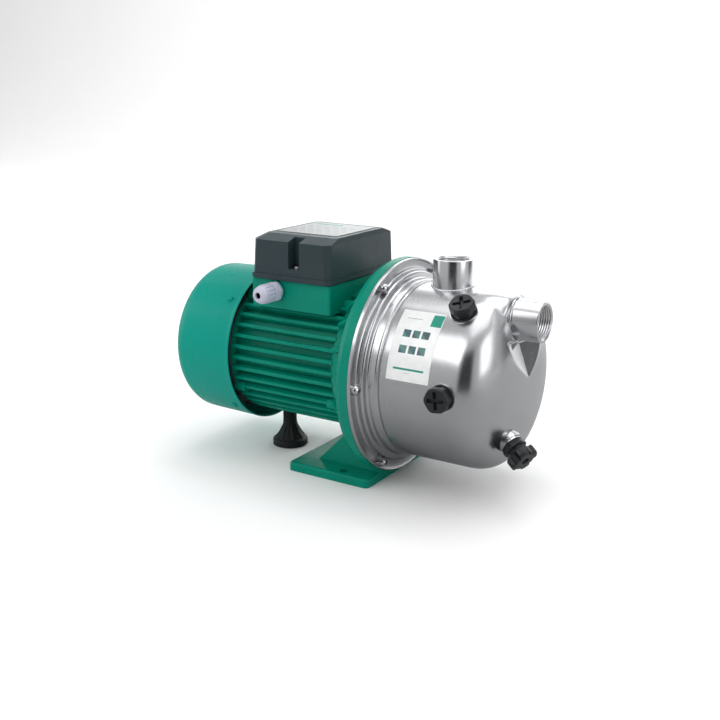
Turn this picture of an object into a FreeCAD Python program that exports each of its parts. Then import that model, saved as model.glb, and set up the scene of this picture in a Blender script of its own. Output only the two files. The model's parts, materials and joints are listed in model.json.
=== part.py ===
import FreeCAD, Part
import math, os

V = FreeCAD.Vector
os.makedirs("parts", exist_ok=True)

# ---------------------------------------------------------------- dimensions
# Working frame: X along the shaft towards the suction end, Z up, origin on the
# shaft axis at the rear plane of the stainless flange. Millimetres.
SHIFT = V(37.0, 0.0, 112.0)      # moves the origin to the floor between the base bolts
FLOOR_Z = -112.0                 # shaft height above the mounting plane
R_FLANGE = 107.0                 # casing flange
T_SHEET = 2.0                    # stainless sheet
R_STEP1, X_STEP1 = 95.0, 9.0
R_STEP2, X_STEP2 = 88.0, 19.0
R_BARREL, X_BARREL = 86.5, 89.34
DOME_DEPTH, DOME_EXP = 44.0, 2.67
PORT_R, PORT_BORE = 19.3, 15.15  # G1 female socket
SUCTION_Z, SUCTION_END = 62.2, 146.6
DISCHARGE_X, DISCHARGE_TOP = 51.5, 112.3
LANDING_X = 119.5                # flat on which the suction socket is welded
N_FLANGE_SCREWS, R_SCREW_CIRCLE = 6, 100.0
BASE_X0, BASE_X1, BASE_HALF_Y, BASE_T = -99.0, -3.5, 65.5, 9.0
BASE_BOLT_X, BASE_BOLT_Y, BASE_BOLT_R = -37.0, 55.5, 4.5
R_HOUSING_ROOT, R_FIN, R_HOUSING_BORE = 62.0, 70.5, 57.0
X_HOUSING0, X_HOUSING1 = -168.0, -39.0
N_FINS, FIN_T = 38, 4.6
R_COVER, X_COVER0, X_COVER1 = 81.0, -240.0, -161.0
TBOX_X0, TBOX_X1, TBOX_HALF_Y, TBOX_Z0, TBOX_Z1 = -144.0, -49.0, 62.6, 84.6, 127.8
BRG_R_IN, BRG_R_OUT, BRG_W = 7.5, 17.5, 11.0   # 6202 bearing
BALL_R, BALL_PITCH_R, N_BALLS = 2.97, 12.5, 8
X_BRG_F, X_BRG_R = -32.0, -179.0               # rear faces of the two bearings
GLAND_X, GLAND_Z, GLAND_PAD_R, GLAND_NECK_R = -113.5, 73.0, 10.2, 7.0
PLUG_X, PLUG_PRIME_DEG, PLUG_SERVICE_DEG = 87.0, 58.0, 2.0
PLUG_SHANK_R, PLUG_HEAD_R, PLUG_SEAT = 9.6, 12.6, 87.0


# ---------------------------------------------------------------- helpers
def cx(r, x0, x1, y=0.0, z=0.0):
    return Part.makeCylinder(r, x1 - x0, V(x0, y, z), V(1, 0, 0))


def cy(r, y0, y1, x=0.0, z=0.0):
    return Part.makeCylinder(r, y1 - y0, V(x, y0, z), V(0, 1, 0))


def cz(r, z0, z1, x=0.0, y=0.0):
    return Part.makeCylinder(r, z1 - z0, V(x, y, z0), V(0, 0, 1))


def tx(ro, ri, x0, x1, y=0.0, z=0.0):
    return cx(ro, x0, x1, y, z).cut(cx(ri, x0 - 1, x1 + 1, y, z))


def tz(ro, ri, z0, z1, x=0.0, y=0.0):
    return cz(ro, z0, z1, x, y).cut(cz(ri, z0 - 1, z1 + 1, x, y))


def box(x0, x1, y0, y1, z0, z1):
    return Part.makeBox(x1 - x0, y1 - y0, z1 - z0, V(x0, y0, z0))


def fuse(parts):
    out = parts[0]
    if len(parts) > 1:
        out = out.multiFuse(parts[1:])
    try:
        out = out.removeSplitter()
    except Exception:
        pass
    return out


def rev(pts):
    """Solid of revolution about the X axis from (x, r) points."""
    ring = [V(x, 0, r) for x, r in pts]
    ring.append(ring[0])
    face = Part.Face(Part.makePolygon(ring))
    return face.revolve(V(0, 0, 0), V(1, 0, 0), 360)


def revz(pts, x=0.0, y=0.0):
    """Solid of revolution about a Z axis at (x, y) from (r, z) points."""
    ring = [V(x + r, y, z) for r, z in pts]
    ring.append(ring[0])
    face = Part.Face(Part.makePolygon(ring))
    return face.revolve(V(x, y, 0), V(0, 0, 1), 360)


def rotx(shape, deg):
    s = shape.copy()
    s.rotate(V(0, 0, 0), V(1, 0, 0), deg)
    return s


def prism_x(yz, x0, x1):
    ring = [V(x0, y, z) for y, z in yz]
    ring.append(ring[0])
    return Part.Face(Part.makePolygon(ring)).extrude(V(x1 - x0, 0, 0))


def prism_y(xz, y0, y1):
    ring = [V(x, y0, z) for x, z in xz]
    ring.append(ring[0])
    return Part.Face(Part.makePolygon(ring)).extrude(V(0, y1 - y0, 0))


def prism_z(xy, z0, z1):
    ring = [V(x, y, z0) for x, y in xy]
    ring.append(ring[0])
    return Part.Face(Part.makePolygon(ring)).extrude(V(0, 0, z1 - z0))


def hexagon(af, n=6):
    r = af / 2.0 / math.cos(math.pi / n)
    return [(r * math.cos(math.pi * 2 * (i + .5) / n), r * math.sin(math.pi * 2 * (i + .5) / n)) for i in range(n)]


def loft(sections):
    wires = []
    for s in sections:
        p = [V(*q) for q in s]
        p.append(p[0])
        wires.append(Part.makePolygon(p))
    return Part.makeLoft(wires, True, True)


def rbox(x0, x1, y0, y1, z0, z1, r):
    """Box with rounded vertical corners."""
    a = box(x0 + r, x1 - r, y0, y1, z0, z1)
    b = box(x0, x1, y0 + r, y1 - r, z0, z1)
    c = [cz(r, z0, z1, x, y) for x in (x0 + r, x1 - r) for y in (y0 + r, y1 - r)]
    return fuse([a, b] + c)


def place(shape, base, axis):
    """Take a shape built on +Z from the origin and set it on base along axis."""
    s = shape.copy()
    s.Placement = FreeCAD.Placement(base, FreeCAD.Rotation(V(0, 0, 1), axis))
    return s


def out_dir(deg):
    """Unit direction at an angle up from -Y."""
    a = math.radians(deg)
    return V(0, -math.cos(a), math.sin(a))


PARTS = {}


def node(name, shapes):
    if not isinstance(shapes, (list, tuple)):
        shapes = [shapes]
    PARTS[name] = list(shapes)


# ---------------------------------------------------------------- casing shell
def dome_pts(a, b, x0, n=16):
    pts = []
    for i in range(n + 1):
        t = math.pi / 2 * i / n
        pts.append((x0 + a * abs(math.sin(t)) ** (2 / DOME_EXP), b * abs(math.cos(t)) ** (2 / DOME_EXP)))
    pts[-1] = (x0 + a, 0.0)
    return pts


def shell_solid(t):
    """Outer form of the pressed casing moved inwards by t."""
    pts = [(2.0 if t == 0 else -1.0, 0.0), (2.0 if t == 0 else -1.0, R_STEP1 - t), (X_STEP1 - t, R_STEP1 - t),
           (X_STEP1 + 1.5 - t, R_STEP2 - t), (X_STEP2 - .4, R_STEP2 - t), (X_STEP2 + .6, R_BARREL - .8 - t),
           (X_STEP2 + 1.6, R_BARREL - t)]
    pts += dome_pts(DOME_DEPTH - t, R_BARREL - t, X_BARREL)
    body = rev(pts)
    # raised land round the suction socket
    land = cx(26.0 - t, 92.0, LANDING_X - t, 0, SUCTION_Z)
    if t == 0:
        edge = [e for e in land.Edges if abs(e.BoundBox.XMin - LANDING_X) < .01 and abs(e.BoundBox.XMax - LANDING_X) < .01]
        land = land.makeFillet(6.0, edge)
    body = body.fuse(land)
    # the land is flat where it sinks below the dome
    body = body.cut(box(LANDING_X - t, 160, -25 - t, 25 + t, 40.5 - t, 110))
    # V-shaped valley running from the land down to the nose
    tip = V(DOME_DEPTH + X_BARREL - 1.2 - t, 0, 9)
    top = V(LANDING_X - 1.0 - t, 0, 45)
    d = top.sub(tip)
    far = tip.add(d.multiply(1.35))
    wide0, wide1 = 9.0, 46.0
    v = loft([[(tip.x, 0, tip.z), (tip.x + 22, wide0, tip.z - 6), (tip.x + 22, -wide0, tip.z - 6)],
              [(top.x, 0, top.z), (top.x + 22, wide1, top.z - 2), (top.x + 22, -wide1, top.z - 2)]])
    body = body.cut(v)
    return body


outer = shell_solid(0.0)
inner = shell_solid(T_SHEET)
flange_ring = rev([(0, R_STEP1 - T_SHEET), (T_SHEET, R_STEP1 - T_SHEET), (T_SHEET, R_FLANGE - 2.0),
                   (3.6, R_FLANGE - 2.0), (3.6, R_FLANGE), (0, R_FLANGE)])
casing = outer.fuse(flange_ring).cut(inner)

dis = V(DISCHARGE_X, 0, 0)
plug_axes = {"priming": (V(PLUG_X, 0, 0), out_dir(PLUG_PRIME_DEG)), "service": (V(PLUG_X, 0, 0), out_dir(PLUG_SERVICE_DEG))}
drain_base = V(127.6, -26.4, -48.4)
drain_axis = V(.80, -.30, -.52).normalize()
holes = [cx(PORT_BORE + 1.6, 100, 150, 0, SUCTION_Z), cz(PORT_BORE + 1.6, 60, 110, DISCHARGE_X, 0)]
for b, a in plug_axes.values():
    holes.append(Part.makeCylinder(12.0, 40, b.add(a * 65), a))
holes.append(Part.makeCylinder(11.0, 30, drain_base.add(drain_axis * -18), drain_axis))
for i in range(N_FLANGE_SCREWS):
    d = out_dir(60 * i)
    holes.append(cx(3.3, -3, 6, d.y * R_SCREW_CIRCLE, d.z * R_SCREW_CIRCLE))
for h in holes:
    casing = casing.cut(h)
casing = max(casing.Solids, key=lambda q: q.Volume)
node("pump_casing", casing)

# threaded sockets welded on the shell
suction = cx(PORT_R, 104.0, SUCTION_END, 0, SUCTION_Z).cut(cx(PORT_BORE, 100, 150, 0, SUCTION_Z))
suction = suction.cut(tx(30, PORT_BORE + 1.5, 100, LANDING_X + .02, 0, SUCTION_Z))
node("suction_port", suction.fuse(tx(PORT_R + 1.3, PORT_R - .2, LANDING_X, LANDING_X + 1.4, 0, SUCTION_Z)))
discharge = cz(PORT_R, 76.0, DISCHARGE_TOP, DISCHARGE_X, 0).cut(cz(PORT_BORE, 70, 120, DISCHARGE_X, 0))
skin = cx(R_BARREL, 20, 89)
d_low = tz(PORT_BORE + 1.5, PORT_BORE, 78.0, 90.0, DISCHARGE_X, 0)
d_up = tz(PORT_R, PORT_BORE, 80.0, DISCHARGE_TOP, DISCHARGE_X, 0).cut(skin)
weld = tz(PORT_R + 1.8, PORT_R - .5, 80.0, R_BARREL + 1.6, DISCHARGE_X, 0).cut(skin)
node("discharge_port", fuse([d_low, d_up, weld]))
bosses = []
for b, a in plug_axes.values():
    boss = Part.makeCylinder(11.9, 6.5, b.add(a * 80.5), a)
    rim = Part.makeCylinder(13.2, 2.6, b.add(a * 84.4), a).cut(outer)
    boss = boss.fuse(rim).cut(Part.makeCylinder(10.0, 30, b.add(a * 70), a))
    bosses.append(boss)
node("plug_bosses", bosses)
# drain seat: short boss standing out of the dome
db = Part.makeCylinder(10.9, 13.4, drain_base.add(drain_axis * -9), drain_axis)
db = db.fuse(Part.makeCylinder(12.0, 3.4, drain_base.add(drain_axis * -1.0), drain_axis).cut(outer))
node("drain_boss", db.cut(Part.makeCylinder(8.3, 40, drain_base.add(drain_axis * -15), drain_axis)))


# ---------------------------------------------------------------- screw plugs
def plug_on_z(af, shank_r, shank_l, head_t, gasket_t):
    """Plug with its sealing face at the top of the gasket and the shank running down."""
    top = gasket_t + head_t
    head = prism_z(hexagon(af), gasket_t, top)
    head = head.common(Part.makeCone(af / 2 + 14, af / 2 - .3, head_t + 4, V(0, 0, gasket_t), V(0, 0, 1)).fuse(Part.makeCylinder(af / 2 + 1.2, head_t - 1, V(0, 0, gasket_t), V(0, 0, 1))))
    for w, l in ((1.7, 8.2), (8.2, 1.7)):
        head = head.cut(box(-w, w, -l, l, top - 3, top + 1))
    shank = Part.makeCylinder(shank_r, shank_l + gasket_t, V(0, 0, -shank_l), V(0, 0, 1))
    shank = shank.cut(Part.makeCylinder(shank_r - 2.6, shank_l - 2, V(0, 0, -shank_l - 1), V(0, 0, 1)))
    return fuse([head, shank])


for key, (b, a) in plug_axes.items():
    seat = b.add(a * PLUG_SEAT)
    node(key + "_plug", place(plug_on_z(25.0, PLUG_SHANK_R, 9.5, 10.4, 1.2), seat, a))
    ring = Part.makeCylinder(12.3, 1.2, V(0, 0, 0), V(0, 0, 1)).cut(Part.makeCylinder(PLUG_SHANK_R + .05, 4, V(0, 0, -1), V(0, 0, 1)))
    node(key + "_gasket", place(ring, seat, a))

drain_seat = drain_base.add(drain_axis * 4.4)
hexr = prism_z(hexagon(22.0), 1.6, 6.6)
neck = Part.makeCylinder(7.6, 5.2, V(0, 0, 6.4), V(0, 0, 1))
knob = [Part.makeCylinder(8.2, 9.5, V(0, 0, 11.2), V(0, 0, 1))]
for i in range(4):
    a = math.pi / 4 + math.pi / 2 * i
    knob.append(Part.makeCylinder(4.4, 9.5, V(9.2 * math.cos(a), 9.2 * math.sin(a), 11.2), V(0, 0, 1)))
    a2 = a + .62
    knob.append(Part.makeCylinder(2.4, 7.0, V(8.6 * math.cos(a2), 8.6 * math.sin(a2), 12.2), V(0, 0, 1)))
shank = Part.makeCylinder(7.9, 12.0, V(0, 0, -10.0), V(0, 0, 1)).cut(Part.makeCylinder(4.6, 9.5, V(0, 0, -11), V(0, 0, 1)))
node("drain_plug", place(fuse([hexr, neck, shank] + knob).cut(Part.makeCylinder(4.6, 4, V(0, 0, 18.2), V(0, 0, 1))), drain_seat, drain_axis))
dr = Part.makeCylinder(10.4, 1.6, V(0, 0, 0), V(0, 0, 1)).cut(Part.makeCylinder(7.95, 4, V(0, 0, -1), V(0, 0, 1)))
node("drain_gasket", place(dr, drain_seat, drain_axis))

# ---------------------------------------------------------------- wet end internals
node("seal_plate", rev([(2, 92.5), (0, 92.5), (0, 17), (-9, 17), (-9, 9), (-7, 9), (-7, 15), (2, 15)]))
node("casing_o_ring", Part.makeTorus(90.4, 2.3, V(4.35, 0, 0), V(1, 0, 0)))
node("seal_seat_cup", rev([(1.0, 15), (-7, 15), (-7, 9.6), (-5.5, 9.6), (-5.5, 12), (1.0, 12)]))
node("seal_stationary", tx(12.0, 8.2, -5.5, 1.5))
node("seal_rotating", tx(11.2, 7.0, 1.55, 5.5))
node("seal_bellows", rev([(5.5, 9.4), (5.5, 7.0), (20.5, 7.0), (20.5, 12.4), (19.3, 12.4), (19.3, 8.2), (7.0, 8.2), (7.0, 9.4)]))
spring = fuse([tx(11.0, 9.8, 7.2 + 2.9 * k, 8.6 + 2.9 * k) for k in range(4)] + [rotx(box(8.0, 18.0, -.6, .6, 9.9, 10.9), 90 * k) for k in range(4)])
node("seal_spring", spring)

# closed impeller with backward vanes
imp = [tx(58, 6, 22, 24), tx(11, 6, 20.5, 34), tx(58, 17, 30, 32), tx(19, 17, 31, 38)]
for i in range(6):
    seg = []
    for k in range(9):
        r = 16 + (57.5 - 16) * k / 8
        a = math.radians(60 * i - 62 * k / 8)
        seg.append((r * math.cos(a), r * math.sin(a)))
    back = []
    for y, z in reversed(seg):
        r = math.hypot(y, z)
        a = math.atan2(z, y) + 2.2 / r
        back.append((r * math.cos(a), r * math.sin(a)))
    imp.append(prism_x(seg + back, 23.5, 30.5))
imp = fuse(imp).cut(tx(30, 5.9, 20, 20.4))
node("impeller", imp)
nut = prism_x(hexagon(15.0), 34.0, 40.0).cut(cx(5.0, 30, 50))
node("impeller_nut", nut)

# diffuser cage bolted to the seal plate round the impeller
dif = [tx(64, 61, 2, 43), tx(63, 19.4, 40, 43), tx(78, 61, 2, 5.5)]
for i in range(8):
    dif.append(rotx(prism_x([(62.5, -1.2), (76, 9), (76, 11.4), (62.5, 1.6)], 5, 40), 45 * i + 22))
dif = fuse(dif)
for i in range(8):
    dif = dif.cut(rotx(box(12, 36, -9, 9, 59, 66), 45 * i + 45))
diff_screws = []
for i in range(4):
    c, s_ = math.cos(math.radians(90 * i + 45)), math.sin(math.radians(90 * i + 45))
    y, z = 71 * c, 71 * s_
    dif = dif.cut(cx(2.0, 0, 8, y, z)).cut(cx(4.6, 5.5, 42, y, z))
    diff_screws.append(cx(2.0, 2.0, 6, y, z).fuse(cx(3.8, 5.5, 8.3, y, z)).cut(box(7.6, 9, y - 3, y + 3, z - .5, z + .5)))
node("diffuser", dif)
node("diffuser_screws", diff_screws)

# ejector: venturi tube, suction chamber and riser to the suction socket
ev = rev([(43, 0), (43, 22), (48, 22), (60, 17.5), (88, 11.6), (88, 0)])
ev = ev.fuse(box(82.6, 112, -15, 15, -16, SUCTION_Z - 4)).fuse(cx(20.6, 84, 112.5, 0, SUCTION_Z))
ev = ev.cut(rev([(40, 0), (40, 17.2), (58, 12.5), (80, 6.0), (87.5, 6.0), (87.5, 0)]))
ev = ev.cut(box(86.5, 108, -12, 12, -13, SUCTION_Z)).cut(cx(17.3, 87, 114, 0, SUCTION_Z)).cut(cx(9.05, 104, 116))
ev = ev.cut(tx(19.1, 16, 105.6, 108.4, 0, SUCTION_Z))
node("ejector_body", ev)
node("jet_nozzle", rev([(93, 3.6), (93, 5.4), (106, 9.0), (112, 9.0), (112, 13.0), (116, 13.0), (116, 8.0), (108, 6.4), (97, 3.6)]))
node("ejector_o_ring", Part.makeTorus(17.9, 1.2, V(107, 0, SUCTION_Z), V(1, 0, 0)))

# ---------------------------------------------------------------- rotating group
node("shaft", rev([(-226, 0), (-226, 6), (-225.5, 6.5), (-181, 6.5), (-181, 7.5), (-168, 7.5), (-168, 9), (-130, 9), (-130, 10), (-50, 10), (-50, 9),
                   (-32, 9), (-32, 7.5), (-19, 7.5), (-19, 7), (20.5, 7), (20.5, 6), (34, 6), (34, 5), (43.4, 5), (44, 4.4), (44, 0)]))
node("rotor_core", tx(33, 10, -128, -52))
er = []
for x0, x1 in ((-134, -128), (-52, -46)):
    p = [tx(31, 17, x0, x1)]
    bx0, bx1 = (x0 - 6, x0 + 1) if x0 < -100 else (x1 - 1, x1 + 5)
    for i in range(8):
        p.append(rotx(box(bx0, bx1, -1.2, 1.2, 20, 30), 45 * i))
    er.append(fuse(p))
node("rotor_end_rings", er)
node("slinger", rev([(-17, 7.0), (-12, 7.0), (-12, 9), (-13.6, 9), (-13.6, 21), (-15.2, 22.5), (-15.6, 21), (-15.2, 9), (-17, 9)]))
fan = [tx(13, 6.5, -224, -192), tx(60, 12, -196, -194)]
for i in range(8):
    fan.append(rotx(box(-222, -194.5, -1, 1, 12, 66), 45 * i))
node("cooling_fan", fuse(fan))


def bearing(name, x0):
    xm = x0 + BRG_W / 2
    groove = Part.makeTorus(BALL_PITCH_R, BALL_R + .05, V(xm, 0, 0), V(1, 0, 0))
    node(name + "_inner_ring", tx(10.3, BRG_R_IN, x0, x0 + BRG_W).cut(groove))
    node(name + "_outer_ring", tx(BRG_R_OUT, 14.7, x0, x0 + BRG_W).cut(groove))
    balls, cage = [], tx(13.3, 11.7, xm - 3.6, xm + 3.6)
    for i in range(N_BALLS):
        a = 2 * math.pi * i / N_BALLS
        p = V(xm, BALL_PITCH_R * math.cos(a), BALL_PITCH_R * math.sin(a))
        balls.append(Part.makeSphere(BALL_R, p))
        cage = cage.cut(Part.makeSphere(BALL_R + .03, p))
    node(name + "_balls", balls)
    node(name + "_cage", cage)


bearing("front_bearing", X_BRG_F)
bearing("rear_bearing", X_BRG_R)

# ---------------------------------------------------------------- motor bracket with cast foot
tie_deg = (-30.0, 63.0, 117.0, 210.0)
R_TIE = 66.0
br = rev([(0, 107.5), (-8, 107.5), (-13, 105.5), (-15.5, 99), (-21, 87), (-30, 77.5), (-39, 72.5), (-39, 56.9), (-44, 56.9), (-44, 54.5), (-35, 54.5),
          (-35, 24), (-36, 24), (-36, 17.5), (-21, 17.5), (-21, 13), (-18, 13), (-18, 24), (-30, 24), (-30, 58), (-20, 74), (-9, 88), (-5, 90), (-5, 60), (0, 60)])
bell_void = rev([(-30, 0), (-30, 58), (-20, 74), (-9, 88), (-5, 90), (-5, 0)])
plate = rbox(BASE_X0, BASE_X1, -BASE_HALF_Y, BASE_HALF_Y, FLOOR_Z, FLOOR_Z + BASE_T, 5.0)
top_edges = [e for e in plate.Edges if abs(e.BoundBox.ZMin - (FLOOR_Z + BASE_T)) < .01 and abs(e.BoundBox.ZMax - (FLOOR_Z + BASE_T)) < .01]
try:
    plate = plate.makeFillet(2.5, top_edges)
except Exception:
    pass
web = loft([[(-78, -41, -104), (-3.5, -41, -104), (-3.5, 41, -104), (-78, 41, -104)],
            [(-38, -35, -62), (-3.5, -35, -62), (-3.5, 35, -62), (-38, 35, -62)]])
web = web.cut(cx(66, -39.0, -29)).cut(bell_void)
web = web.cut(cx(76.5, -100, -39.0))
web = web.cut(loft([[(-66, -35, -113), (-16, -35, -113), (-16, 35, -113), (-66, 35, -113)], [(-40, -29, -84), (-16, -29, -84), (-16, 29, -84), (-40, 29, -84)]]))
br = fuse([br, plate, web])
for i, dg in enumerate((20, 38, 52, 66, 114, 128, 142, 160, 200, 340)):
    rib = prism_y([(-12, 102), (-38, 80), (-38, 70), (-12, 86)], -2, 2)
    br = br.fuse(rotx(rib, 90 - dg))
br = br.cut(bell_void.cut(tx(24, 0.1, -31, -17)).cut(cx(24, -31, -17)))
for y in (-BASE_BOLT_Y, BASE_BOLT_Y):
    br = br.cut(cz(BASE_BOLT_R, FLOOR_Z - 1, FLOOR_Z + 20, BASE_BOLT_X, y))
for i in range(N_FLANGE_SCREWS):
    d = out_dir(60 * i)
    br = br.cut(cx(3.0, -13.0, 1, d.y * R_SCREW_CIRCLE, d.z * R_SCREW_CIRCLE))
for dg in tie_deg:
    d = out_dir(dg)
    br = br.cut(cx(2.5, -50, -24, d.y * R_TIE, d.z * R_TIE))
node("motor_bracket", br)

screws, washers = [], []
for i in range(N_FLANGE_SCREWS):
    d = out_dir(60 * i)
    y, z = d.y * R_SCREW_CIRCLE, d.z * R_SCREW_CIRCLE
    head = Part.makeSphere(5.0, V(4.6, y, z)).common(cx(4.7, 3.2, 12, y, z)).cut(prism_x([(y + 2.3 * math.cos(k * math.pi / 3), z + 2.3 * math.sin(k * math.pi / 3)) for k in range(6)], 6.8, 12))
    screws.append(head.fuse(cx(3.0, -12.0, 3.4, y, z)))
    washers.append(tx(4.9, 3.05, 2.0, 3.2, y, z))
node("flange_screws", screws)
node("flange_washers", washers)

# ---------------------------------------------------------------- stator housing
hs = [tx(R_HOUSING_ROOT, R_HOUSING_BORE, X_HOUSING0, X_HOUSING1)]
for i in range(N_FINS):
    a = 360.0 * (i + .5) / N_FINS
    x0 = X_HOUSING0 + 3.0
    x1 = X_HOUSING1 - 2.0
    hs.append(rotx(prism_x([(-FIN_T / 2 - .5, R_HOUSING_ROOT - 1), (-FIN_T / 2 + .4, R_FIN - .6), (-FIN_T / 2 + 1.0, R_FIN), (FIN_T / 2 - 1.0, R_FIN),
                            (FIN_T / 2 - .4, R_FIN - .6), (FIN_T / 2 + .5, R_HOUSING_ROOT - 1)], x0, x1), a))
hs.append(tx(R_FIN - 2, R_HOUSING_BORE, X_HOUSING1 - 4, X_HOUSING1))
hs.append(tx(R_FIN - 2, R_HOUSING_BORE, X_HOUSING0, X_HOUSING0 + 4))
for dg in tie_deg:
    d = out_dir(dg)
    for x0, x1 in ((X_HOUSING0, X_HOUSING0 + 13), (X_HOUSING1 - 13, X_HOUSING1)):
        hs.append(cx(6.2, x0, x1, d.y * (R_TIE + .5), d.z * (R_TIE + .5)).cut(cx(R_HOUSING_BORE + 1, x0 - 1, x1 + 1)))
ped = rbox(-145, -50, -59, 59, 55, 83.4, 3.0).cut(box(-141.5, -53.5, -55.5, 55.5, 66, 90)).cut(cx(R_HOUSING_BORE + 1, -150, -40))
hs.append(ped)
for s_ in (-1, 1):
    hs.append(cz(4.6, 62, 83.4, -91, s_ * 53.8))
hs.append(cy(GLAND_PAD_R, -61.5, -58, GLAND_X, GLAND_Z))
hs.append(cz(9, -71.2, -60, -144))
hs = fuse(hs)
hs = hs.cut(cy(GLAND_NECK_R, -70, -50, GLAND_X, GLAND_Z))
for s_ in (-1, 1):
    hs = hs.cut(cz(1.9, 68, 90, -91, s_ * 53.8))
hs = hs.cut(cz(3.0, -80, -60.5, -144)).cut(cx(R_HOUSING_BORE, -170, -30)).cut(box(-141.5, -53.5, -49.0, 49.0, 66, 90))
hs = hs.cut(cz(5.0, 50, 70, -120, 0))
for dg in tie_deg:
    d = out_dir(dg)
    hs = hs.cut(cx(2.6, -170, -30, d.y * R_TIE, d.z * R_TIE))
node("stator_housing", hs)

core = tx(R_HOUSING_BORE, 33.6, -128, -52)
wind = [tx(52.5, 39, -146, -128), tx(52.5, 39, -52, -40)]
for i in range(24):
    core = core.cut(rotx(box(-129, -51, -1.9, 1.9, 36, 47.5), 15 * i)).cut(rotx(box(-129, -51, -.8, .8, 30, 37), 15 * i))
    wind.append(rotx(box(-130, -50, -1.6, 1.6, 36.6, 47.0), 15 * i))
wind = fuse([wind[0]] + [w for w in wind[1:]])
wind = wind.cut(tx(39.0, 30, -150, -128)).cut(tx(39.0, 30, -52, -38))
node("stator_core", core)
node("stator_windings", wind)

es = rev([(-168, 71), (-180, 71), (-180, 67), (-174, 67), (-174, 24), (-184, 24), (-184, 10), (-181, 10), (-181, 17.5), (-165, 17.5), (-165, 24), (-168, 24),
          (-168, 54.6), (-164, 54.6), (-164, 56.9), (-168, 56.9)])
lug_deg = (45.0, 135.0, 225.0, 315.0)
for dg in lug_deg:
    es = es.fuse(rotx(box(-180, -169, -8, 8, 68, 78.6), dg))
for dg in lug_deg:
    es = es.cut(rotx(cz(1.8, 60, 90, -174.0, 0), dg))
for dg in tie_deg:
    d = out_dir(dg)
    es = es.cut(cx(2.6, -178, -158, d.y * R_TIE, d.z * R_TIE))
node("rear_end_shield", es)
bolts = []
for dg in tie_deg:
    y, z = out_dir(dg).y * R_TIE, out_dir(dg).z * R_TIE
    bolt = cx(2.5, -175, -25, y, z).fuse(cx(2.5, -181, -174, y, z))
    bolt = bolt.fuse(cx(4.2, -183.6, -180.0, y, z)).cut(box(-184, -182.6, y - 5, y + 5, z - .6, z + .6))
    bolts.append(bolt)
es = PARTS["rear_end_shield"][0]
for dg in tie_deg:
    d = out_dir(dg)
    es = es.fuse(cx(6.0, -180, -173.5, d.y * R_TIE, d.z * R_TIE)).cut(cx(2.6, -190, -150, d.y * R_TIE, d.z * R_TIE))
node("rear_end_shield", es)
node("tie_bolts", bolts)

fc_o = [(X_COVER1, 81.4), (-222, 80.2), (-228.8, 78.6), (-234.4, 75.0), (-238.4, 69.4), (X_COVER0, 62.0)]
fc_i = [(-238.3, 61.6), (-236.8, 68.6), (-233.2, 73.7), (-228.0, 77.0), (-221.8, 78.5), (X_COVER1, 79.7)]
fc = rev(fc_o + [(X_COVER0, 0), (-238.3, 0)] + fc_i)
for i in range(16):
    fc = fc.cut(rotx(box(-244, -235.5, -2.4, 2.4, 24, 40), 22.5 * i))
    fc = fc.cut(rotx(box(-244, -235.5, -2.4, 2.4, 44, 58), 22.5 * i))
for dg in lug_deg:
    fc = fc.cut(rotx(cz(2.0, 60, 90, -174.0, 0), dg))
node("fan_cover", fc)
node("fan_cover_screws", [rotx(cz(1.8, 71.5, 81.6, -174.0, 0).fuse(Part.makeCone(3.6, 2.6, 1.9, V(-174.0, 0, 81.3), V(0, 0, 1))), dg) for dg in lug_deg])

# ---------------------------------------------------------------- terminal box
def octo(x0, x1, hy, z, c):
    return [(x0 + c, -hy, z), (x1 - c, -hy, z), (x1, -hy + c, z), (x1, hy - c, z), (x1 - c, hy, z), (x0 + c, hy, z), (x0, hy - c, z), (x0, -hy + c, z)]


def box_form(t):
    lip = loft([octo(TBOX_X0 + t, TBOX_X1 - t, TBOX_HALF_Y - t, TBOX_Z0 - (1 if t else 0), 4.0), octo(TBOX_X0 + t, TBOX_X1 - t, TBOX_HALF_Y - t, 89.4, 4.0)])
    up = loft([octo(TBOX_X0 + 1.0 + t, TBOX_X1 - 1.0 - t, TBOX_HALF_Y - 1.0 - t, 84.6 if not t else 84.0, 4.5), octo(TBOX_X0 + 2.2 + t, TBOX_X1 - 1.6 - t, TBOX_HALF_Y - 2.0 - t, 122.8 - t, 5.5)])
    top = loft([octo(TBOX_X0 + 2.2 + t, TBOX_X1 - 1.6 - t, TBOX_HALF_Y - 2.0 - t, 122.8 - t, 5.5), octo(-136.0 + t, -51.4 - t, 44.5 - t * .5, TBOX_Z1 - t, 4.0)])
    return lip.fuse(up).fuse(top) if not t else up.fuse(top)


cover = box_form(0)
pocket = [box(-101, -81, -70, -46.0, 80, 130), box(-101, -81, 46.0, 70, 80, 130)]
hollow = box_form(2.6)
for p in pocket:
    hollow = hollow.cut(p)
cover = cover.cut(hollow)
for s_ in (-1, 1):
    y0, y1 = sorted((s_ * 48.8, s_ * 70.0))
    cover = cover.cut(box(-97.5, -84.5, y0, y1, 96.5, 130))
    cover = cover.cut(cz(2.1, 80, 100, -91, s_ * 53.8))
node("terminal_box_cover", cover)
gk = rbox(-143.5, -51.0, -58.6, 58.6, 83.4, 84.6, 3.0).cut(box(-140.8, -54.2, -55.0, 55.0, 80, 90))
for s_ in (-1, 1):
    gk = gk.fuse(cz(4.6, 83.4, 84.6, -91, s_ * 53.8))
for s_ in (-1, 1):
    gk = gk.cut(cz(2.1, 80, 90, -91, s_ * 53.8))
node("terminal_box_gasket", gk)
node("cover_screws", [cz(1.9, 72, 96.6, -91, s_ * 53.8).fuse(cz(4.0, 96.5, 99.0, -91, s_ * 53.8)).cut(box(-96, -86, s_ * 53.8 - .6, s_ * 53.8 + .6, 98.0, 100)) for s_ in (-1, 1)])
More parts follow.
